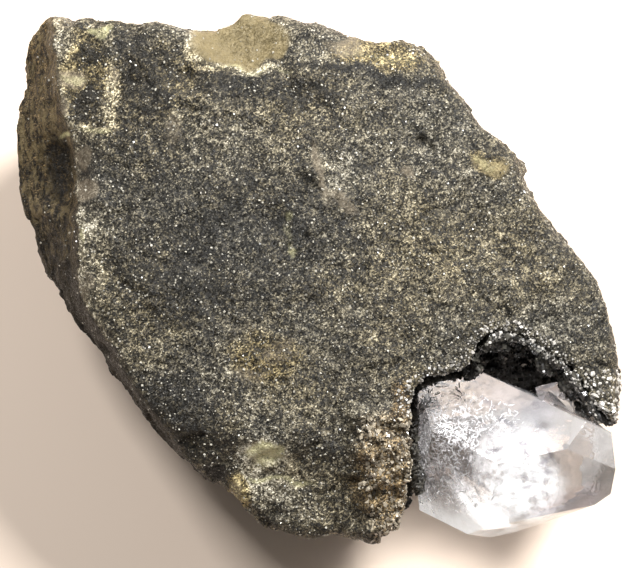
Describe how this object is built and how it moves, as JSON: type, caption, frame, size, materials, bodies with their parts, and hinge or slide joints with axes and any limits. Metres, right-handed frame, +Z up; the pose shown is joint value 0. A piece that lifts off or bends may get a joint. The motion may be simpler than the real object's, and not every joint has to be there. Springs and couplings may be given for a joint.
{
  "type": "herkimer diamond",
  "caption": "Clear double-ended quartz crystal set in an open, crystal-lined vug at the corner of a broken block of sparkling grey dolostone",
  "frame": {"origin": "the middle of the bounding box, at the level that the block rests on", "axes": "+Z up; the broad broken face looks up and leans towards -Y by 15 degrees; +X is to the right for someone looking along +Y, the side of the vug and its crystal"},
  "size_m": [0.0926, 0.08, 0.0437],
  "materials": {
    "dolostone": "broken, sugary, with sparkling grains",
    "crust": "small glassy crystals",
    "quartz": "clear, with healed cracks and veils inside"
  },
  "bodies": {
    "root": {"matrix": "dolostone", "vug_crust": "crust", "quartz": "quartz"}
  },
  "joints": []
}
